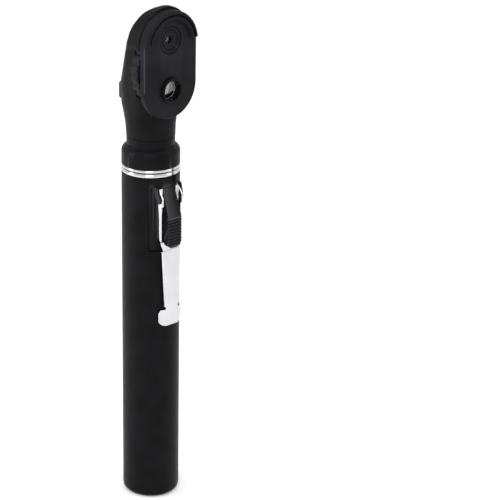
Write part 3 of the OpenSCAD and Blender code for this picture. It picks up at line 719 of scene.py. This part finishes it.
def make_front_housing():
    shell = head_shell(True)
    pocket = rod(WHEEL_R + 0.4 * MM, -13 * MM, -3.6 * MM, 0, WHEEL.z, 128)
    face = block((-15 * MM, -20 * MM, PLATE_LOW - 0.2 * MM), (30 * MM, 20 * MM + PLATE_BACK + CLEAR, 60 * MM))
    cut(shell, loose(pocket), loose(face))
    dress(shell, "head", "head_black", "front_housing", sharp=math.radians(26))
    make_bulkhead()


def make_bulkhead():
    """The wall behind the lens wheel, which holds the axle and lets the sight line through."""
    wall = loose(rod(10.8 * MM, -4.6 * MM, -2.25 * MM, 0, WHEEL.z, 128), "wheel_bulkhead")
    combine(wall, [loose(head_loft(0.6))], "INTERSECT")
    cut(wall, loose(rod(1.02 * MM, -6 * MM, 0, 0, WHEEL.z)), loose(rod(1.5 * MM, -6 * MM, 0, 0, SIGHT.z)),
        loose(post(2.97 * MM, 143 * MM, 151.2 * MM)))
    bevel(wall, 0.1 * MM, 2, 40)
    dress(wall, "head", "head_black")


def make_rear_housing():
    shell = head_shell(False)
    port = middle("patient_window")
    hole = lathe([(0, -4 * MM), (4.5 * MM, -4 * MM), (4.5 * MM, 12 * MM), (0, 12 * MM)], 96, ALONG_REAR, port)
    slot = post(SELECTOR_R + 0.3 * MM, low("aperture_wheel").z - 0.2 * MM,
                high("aperture_wheel").z + 0.2 * MM, 0, SELECTOR.y, 128)
    cut(shell, loose(hole), loose(slot))
    screw = middle("housing_screws")
    for side in (-1, 1):
        x = side * (high("housing_screws").x - 1.15 * MM)
        cut(shell, loose(rod(1.25 * MM, 5.0 * MM, 14 * MM, x, screw.z, 48)))
    dress(shell, "head", "head_black", "rear_housing", sharp=math.radians(26))


def make_screws():
    y0 = high("housing_screws").y - 0.7 * MM
    head = 1.15 * MM
    profile = fillet([(0, 0), (head, 0), (head, 0.7 * MM), (0, 0.7 * MM)], [0, 0.1 * MM, 0.2 * MM, 0], 4)
    shank = rod(0.58 * MM, low("housing_screws").y, y0)
    both = []
    for side in (-1, 1):
        x = side * (high("housing_screws").x - head)
        z = middle("housing_screws").z
        cap = loose(lathe(profile, 48, ALONG_MINUS_Y.inverted(), (x, y0, z)))
        cut(cap, loose(block((x - 0.17 * MM, y0 + 0.35 * MM, z - 2 * MM), (0.34 * MM, 1 * MM, 4 * MM))))
        both.append(cap)
        both.append(loose(place(shank.copy(), None, (x, 0, z))))
    shank.free()
    bm = bmesh.new()
    for obj in both:
        bm.from_mesh(obj.data)
        bpy.data.objects.remove(obj)
    add("rear_screws", bm, "head", "steel", "housing_screws")


# ------------------------------------------------------------------ face

PLATE_C_LOW = PLATE_LOW + PLATE_HW
PLATE_C_HIGH = PLATE_HIGH - PLATE_HW


def stadium(radius, steps=48):
    """The face plate's outline: two half circles and two straight sides."""
    top = [(radius * math.cos(a), PLATE_C_HIGH + radius * math.sin(a))
           for a in [math.pi * k / steps for k in range(steps + 1)]]
    bottom = [(radius * math.cos(a), PLATE_C_LOW + radius * math.sin(a))
              for a in [math.pi + math.pi * k / steps for k in range(steps + 1)]]
    return top + bottom


def rounded_plate(radius, y_front, y_back, edge, steps=5):
    """A plate of the stadium outline whose front edge is rounded."""
    bm = bmesh.new()
    rows = [(radius, y_back)]
    for k in range(steps + 1):
        t = math.radians(90 * k / steps)
        rows.append((radius - edge + edge * math.cos(t), y_front + edge - edge * math.sin(t)))
    rings = [[bm.verts.new((x, y, z)) for x, z in stadium(r)] for r, y in rows]
    skin(bm, rings)
    bm.faces.new(rings[0][::-1])
    bm.faces.new(rings[-1])
    return bm


def make_plate():
    plate = loose(rounded_plate(PLATE_HW, PLATE_FRONT, PLATE_BACK, 0.45 * MM), "face_plate_cover")
    cut(plate, loose(rod(4.5 * MM, -14 * MM, 0, 0, SIGHT.z, 96)),
        loose(rod(3.67 * MM, -14 * MM, 0, 0, WINDOW.z, 96)),
        loose(rod(1.02 * MM, PLATE_BACK - 1 * MM, 0, 0, WHEEL.z, 48)))
    dress(plate, "head", "plate_grey", "face_plate", sharp=math.radians(26))


def make_rest():
    """The brow rest: a rounded rim and a thin inner ridge with a deep groove between them."""
    low_z = low("brow_rest").z
    rim, tall = 1.1, (PLATE_FRONT - low("brow_rest").y) / MM
    outer = PLATE_HW / MM
    section = [(7.7, 0.0), (7.72, 0.35), (8.02, 1.08), (8.2, 1.22), (8.45, 1.25), (8.95, 1.2), (9.12, 1.05),
               (9.16, 0.3), (9.74, 0.3), (9.76, tall - 0.2), (9.8, tall)]
    section += [(outer - rim + rim * math.sin(t), tall - rim + rim * math.cos(t))
                for t in [math.radians(15 * k) for k in range(1, 7)]]
    section += [(outer, 0.0)]
    bm = bmesh.new()
    steps = 120
    rings = []
    for k in range(steps + 1):
        ring = []
        for r, h in section:
            start = math.asin((low_z - PLATE_C_HIGH) / (r * MM))
            a = start + (math.pi - 2 * start) * k / steps
            x, z = r * MM * math.cos(a), PLATE_C_HIGH + r * MM * math.sin(a)
            ring.append(bm.verts.new((x, PLATE_FRONT - h * MM, z)))
        rings.append(ring)
    skin(bm, rings)
    bm.faces.new(rings[0])
    bm.faces.new(rings[-1][::-1])
    add("brow_rest_arch", bm, "head", "plate_grey", "brow_rest", sharp=math.radians(40))


def make_sight_insert():
    """The dish round the sight hole, with its two concentric ring grooves."""
    y0, y1 = low("sight_insert").y, high("sight_insert").y
    depth = y1 - y0
    groove = 0.28 * MM
    rows = [(1.2, 0), (1.2, depth - 0.7 * MM), (1.5, depth - 0.45 * MM), (2.87, depth - 0.3 * MM),
            (2.95, depth - 0.3 * MM - groove), (3.2, depth - 0.3 * MM - groove), (3.3, depth - 0.22 * MM),
            (4.1, depth - 0.1 * MM), (4.18, depth - 0.1 * MM - groove), (4.36, depth - 0.1 * MM - groove),
            (4.44, depth), (4.48, depth), (4.48, 0)]
    profile = [(r * MM, h) for r, h in rows]
    add("sight_dish", lathe(profile, 128, ALONG_MINUS_Y, (0, y1, SIGHT.z)), "head", "plate_grey",
        "sight_insert", sharp=math.radians(30))


def make_bezel():
    y0, y1 = low("window_bezel").y, high("window_bezel").y
    seat = y1 - PLATE_FRONT
    depth = y1 - y0
    inner, step, outer = 3.25 * MM, 3.65 * MM, 4.15 * MM
    profile = fillet([(inner, 0), (step, 0), (step, seat), (outer, seat), (outer, depth), (inner, depth)],
                     [0, 0, 0, 0, 0.38 * MM, 0.3 * MM], 6)
    add("window_ring", lathe(profile, 128, ALONG_MINUS_Y, (0, y1, WINDOW.z)), "head", "head_black",
        "window_bezel", sharp=math.radians(35))


def pane(name, node, radius, bulge, turn=ALONG_MINUS_Y, centre=None, thickness=0.5 * MM):
    """A small lens: a plain edge and a gently crowned outer face."""
    profile = [(0, 0), (radius - 0.05 * MM, 0), (radius, 0.05 * MM)] + crowned(radius, thickness, bulge, 10)
    at = centre if centre is not None else Vector((0, high(node).y, middle(node).z))
    add(name, lathe(profile, 96, turn, at), "head", "glass", node)


def make_panes():
    pane("sight_pane", "eye_window", high("eye_window").x, 0.0)
    pane("scale_magnifier", "window_lens", high("window_lens").x, 0.12 * MM)
    centre = middle("patient_window") - (ALONG_REAR @ Vector((0, 0, 0.45 * MM)))
    pane("patient_pane", "patient_window", high("patient_window").x, 0.1 * MM, ALONG_REAR, centre, 0.75 * MM)


def make_patient_bezel():
    """The raised ring round the window on the patient's side."""
    base = middle("patient_window") - (ALONG_REAR @ Vector((0, 0, 1.07 * MM)))
    bore, seat, neck, outer = 3.4 * MM, 3.9 * MM, 4.5 * MM, 5.2 * MM
    ledge, shoulder, top = 0.6 * MM, 0.9 * MM, 1.85 * MM
    profile = fillet([(bore, 0), (neck, 0), (neck, shoulder), (outer, shoulder),
                      (outer, top), (seat, top), (seat, ledge), (bore, ledge)],
                     [0, 0, 0, 0, 0.4 * MM, 0.25 * MM, 0, 0], 5)
    add("patient_ring", lathe(profile, 128, ALONG_REAR, base), "head", "head_black", "patient_bezel",
        sharp=math.radians(35))


# ------------------------------------------------------------------ wheels

STATIONS = 12
DIOPTRES = ["0", "2", "4", "6", "10", "15", "20", "15", "10", "6", "4", "2"]
GROOVES = 22


def grooved_circle(radius, count, depth, per=10, phase=0.0, sharpness=3):
    """An outline with evenly spaced finger grooves."""
    n = count * per
    out = []
    for k in range(n):
        a = k * TAU / n
        wave = (0.5 + 0.5 * math.cos(count * (a - phase))) ** sharpness
        r = radius - depth * wave
        out.append((r * math.cos(a), r * math.sin(a)))
    return out


def at_station(i, radius):
    """Where station i of the lens wheel is, as x and z."""
    a = math.radians(i * 360 / STATIONS)
    return radius * math.sin(a), WHEEL.z + radius * math.cos(a)


PITCH_R = SIGHT.z - WHEEL.z
NUMBER_R = WHEEL.z - WINDOW.z
WEB_R = WHEEL_R - 0.65 * MM
WEB_FRONT, WEB_BACK = -6.4 * MM, -4.9 * MM


def make_lens_wheel():
    front, back = low("lens_disc").y, high("lens_disc").y
    rim = loose(prism(grooved_circle(WHEEL_R, GROOVES, 0.5 * MM, 16), back - front, ALONG_MINUS_Y,
                      (0, back, WHEEL.z)), "lens_wheel_disc")
    cut(rim, loose(rod(WEB_R, -12 * MM, WEB_FRONT, 0, WHEEL.z, 128)),
        loose(rod(WEB_R, WEB_BACK, 0, 0, WHEEL.z, 128)))
    holes = [rod(1.25 * MM, -12 * MM, 0, *at_station(i, PITCH_R), 32) for i in range(STATIONS)]
    cut(rim, loose(merge(holes[0], *holes[1:])), loose(rod(1.05 * MM, -12 * MM, 0, 0, WHEEL.z)))
    bevel(rim, 0.1 * MM, 2, 50)
    dress(rim, "lens_wheel", "wheel_black", "lens_disc", sharp=math.radians(30))
    lens_r = 1.22 * MM
    bm = bmesh.new()
    for i in range(STATIONS):
        x, z = at_station(i, PITCH_R)
        lens = [(0, 0), (lens_r, 0)] + crowned(lens_r, 0.85 * MM, 0.12 * MM, 6)
        merge(bm, lathe(lens, 32, ALONG_MINUS_Y, (x, -5.17 * MM, z)))
    add("wheel_lenses", bm, "lens_wheel", "glass", "disc_lenses")


def make_scale():
    """The white dial on the wheel's face, with one number for each lens."""
    face = low("dioptre_scale").y
    back = high("dioptre_scale").y
    outer, inner = high("dioptre_scale").x, 3.6 * MM
    ring = [(inner, 0), (outer, 0), (outer, back - face), (inner, back - face)]
    dial = loose(lathe(ring, 128, ALONG_MINUS_Y, (0, back, WHEEL.z)), "dioptre_dial")
    dress(dial, "lens_wheel", "scale_white", "dioptre_scale")
    for i, label in enumerate(DIOPTRES):
        number("dial_number_%02d" % i, label, i, face, i > STATIONS // 2)


def number(name, label, station, face, minus):
    """One dial number, opposite the lens that it names, as thin printed relief."""
    curve = bpy.data.curves.new(name, "FONT")
    curve.body = label
    curve.size = 2.1 * MM
    curve.align_x = "CENTER"
    curve.align_y = "CENTER"
    curve.extrude = 0.008 * MM
    text = link(name, curve)
    a = math.radians((station + STATIONS / 2) * 360 / STATIONS)
    upright = Matrix.Rotation(a + math.pi, 4, "Y")
    spot = Vector((NUMBER_R * math.sin(a), face - 0.004 * MM, WHEEL.z + NUMBER_R * math.cos(a)))
    mesh = evaluated_mesh(text)
    mesh.transform(Matrix.Translation(spot) @ upright @ ALONG_MINUS_Y)
    bpy.data.objects.remove(text)
    dress(link(name, mesh), "lens_wheel", "scale_white", material="scale_red" if minus else "scale_ink")


def make_selector():
    """The ribbed aperture wheel, with its five apertures."""
    z0, z1 = low("aperture_wheel").z, high("aperture_wheel").z
    height = z1 - z0
    rim = loose(prism(grooved_circle(SELECTOR_R, 30, 0.34 * MM, 10), height, None, (0, SELECTOR.y, z0)),
                "aperture_wheel_disc")
    hub, rim_in, deep, pitch = 1.9 * MM, 6.15 * MM, 6 * MM, 5 * MM
    pocket = [(hub, 0), (rim_in, 0), (rim_in, deep), (hub, deep)]
    cut(rim, loose(lathe(pocket, 96, None, (0, SELECTOR.y, z0 + 2.8 * MM))),
        loose(lathe(pocket, 96, None, (0, SELECTOR.y, z0 - 4.4 * MM))),
        loose(post(0.75 * MM, 130 * MM, 150 * MM, 0, SELECTOR.y)))
    radii = [1.3, 0.5, 1.3, 0.35, 1.3]
    for i, r in enumerate(radii):
        a = math.radians(-90 + i * 72)
        x, y = pitch * math.cos(a), SELECTOR.y + pitch * math.sin(a)
        cut(rim, loose(post(r * MM, 130 * MM, 150 * MM, x, y, 32)))
    bevel(rim, 0.12 * MM, 2, 50)
    dress(rim, "selector", "wheel_black", "aperture_wheel", sharp=math.radians(30))


# ------------------------------------------------------------------ carried-over inner pieces

def finish_frame():
    """Every CAD node that stays gets the material of its slot."""
    slots = {row["node"]: row["material_slot"] for row in frame["record"]["subparts"]}
    for node, obj in frame["nodes"].items():
        if not obj.material_slots:
            obj.data.materials.append(M[slots[node]])
        for row in obj.material_slots:
            row.material = M[slots[node]]


# ------------------------------------------------------------------ studio

def area(name, place_at, aim, size, power):
    """A rectangular white softbox."""
    data = bpy.data.lights.new(name, "AREA")
    data.shape = "RECTANGLE"
    data.size, data.size_y = size
    data.energy = power
    obj = link(name, data)
    obj.location = place_at
    obj.rotation_mode = "QUATERNION"
    obj.rotation_quaternion = (Vector(aim) - Vector(place_at)).to_track_quat("-Z", "Y")


def make_studio():
    obj = loose(block((-3, -3, -0.01), (6, 6, 0.01)), "floor")
    mat, tree, bsdf = shader("floor_paper", (0.9, 0.9, 0.9), 0.85)
    mottle(tree, bsdf, noise(tree, 3, 2), (0.89, 0.89, 0.89), (0.91, 0.91, 0.91))
    obj.data.materials.append(mat)
    world = bpy.data.worlds.new("studio")
    world.use_nodes = True
    world.node_tree.nodes["Background"].inputs["Color"].default_value = (1, 1, 1, 1)
    world.node_tree.nodes["Background"].inputs["Strength"].default_value = 1.0
    bpy.context.scene.world = world
    bpy.context.scene.view_settings.view_transform = "Standard"
    aim = (0, 0, 0.09)
    area("key_softbox", (-0.55, -0.5, 0.55), aim, (0.35, 0.5), 2.4)
    area("edge_softbox", (-0.5, 0.35, 0.25), aim, (0.15, 0.5), 2.0)
    area("fill_softbox", (0.45, -0.55, 0.4), aim, (0.3, 0.5), 0.8)
    area("top_softbox", (0.05, 0.0, 0.8), aim, (0.5, 0.5), 1.5)


AZIMUTH = math.radians(-41)
ELEVATION = math.radians(21.4)
DISTANCE = 0.600
TARGET_Z = 0.087
SENSOR = 36.0
FOCAL = 131.5
SHIFT_X = 0.1984


def make_camera():
    cam = bpy.data.cameras.new("camera")
    cam.sensor_width = SENSOR
    cam.lens = FOCAL
    cam.shift_x = SHIFT_X
    cam.clip_start = 0.01
    cam.clip_end = 20
    obj = link("camera", cam)
    back = Vector((math.sin(AZIMUTH) * math.cos(ELEVATION), -math.cos(AZIMUTH) * math.cos(ELEVATION),
                   math.sin(ELEVATION)))
    obj.location = Vector((0, 0, TARGET_Z)) + back * DISTANCE
    obj.rotation_mode = "QUATERNION"
    obj.rotation_quaternion = (-back).to_track_quat("-Z", "Y")
    bpy.context.scene.camera = obj


make_camera()
make_studio()
finish_frame()
make_tube()
make_ring("lower_ring", "ring_lower", "handle")
make_ring("upper_ring", "ring_upper", "head")
make_carrier()
make_bracket()
make_arm()
make_slider()
make_collar()
make_sleeve()
make_front_housing()
make_rear_housing()
make_screws()
make_plate()
make_rest()
make_sight_insert()
make_bezel()
make_panes()
make_patient_bezel()
make_lens_wheel()
make_scale()
make_selector()
